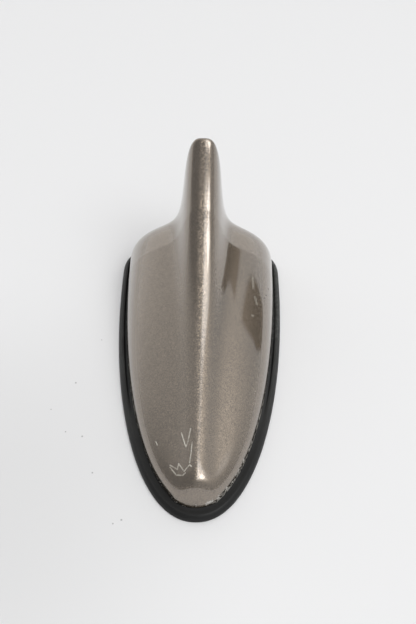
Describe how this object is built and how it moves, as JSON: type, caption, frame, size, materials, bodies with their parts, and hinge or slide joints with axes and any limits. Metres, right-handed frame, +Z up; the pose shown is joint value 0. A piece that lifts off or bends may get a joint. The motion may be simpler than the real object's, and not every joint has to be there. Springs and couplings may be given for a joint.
{
  "type": "shark fin aerial",
  "caption": "Low roof aerial for a car: a painted shell with a blunt nose and an upright rear fin, on a rubber gasket and a cast base plate.",
  "frame": {"origin": "on the roof plane, on the axis of the fixing bolt, which is the middle of the gasket's length and width", "axes": "+Z up, away from the roof; +Y towards the tail of the fin, so the nose points to -Y; +X across"},
  "size_m": [0.0754, 0.144, 0.073],
  "materials": {
    "body_paint": "bronze-grey metallic with clear coat, worn at the rim",
    "gasket_rubber": "matt black, greyed on its upper faces",
    "cast_alloy": "as cast",
    "seal_rubber": "matt",
    "insert_brass": "turned",
    "spring_steel": "zinc plated",
    "screw_steel": "zinc plated",
    "board_green": "lacquered glass-fibre laminate",
    "chip_black": "moulded",
    "foam_white": "adhesive foam",
    "patch_ceramic": "fired ceramic, silvered on top",
    "contact_brass": "gold plated",
    "tinplate": "tinned",
    "socket_cream": "moulded",
    "socket_claret": "moulded",
    "socket_blue": "moulded",
    "radiator_copper": "lacquered copper",
    "coil_copper": "enamelled copper wire",
    "former_plastic": "moulded",
    "foam_black": "open-cell foam",
    "membrane_white": "fibrous"
  },
  "bodies": {
    "root": {"cover": "body_paint", "gasket": "gasket_rubber", "base_plate": "cast_alloy", "opening_seal": "seal_rubber", "fixing_insert": "insert_brass", "earth_ring": "spring_steel", "cover_screws": "screw_steel", "main_board": "board_green", "board_screws": "screw_steel", "board_parts": "chip_black", "patch_pad": "foam_white", "satellite_patch": "patch_ceramic", "patch_pin": "contact_brass", "amplifier_can": "tinplate", "radio_socket": "socket_cream", "phone_socket": "socket_claret", "satellite_socket": "socket_blue", "socket_contacts": "contact_brass", "fin_board": "board_green", "phone_radiator": "radiator_copper", "top_load": "tinplate", "feed_strip": "tinplate", "coil_former": "former_plastic", "loading_coil": "coil_copper", "rattle_pads": "foam_black", "vent_membrane": "membrane_white"}
  },
  "joints": []
}
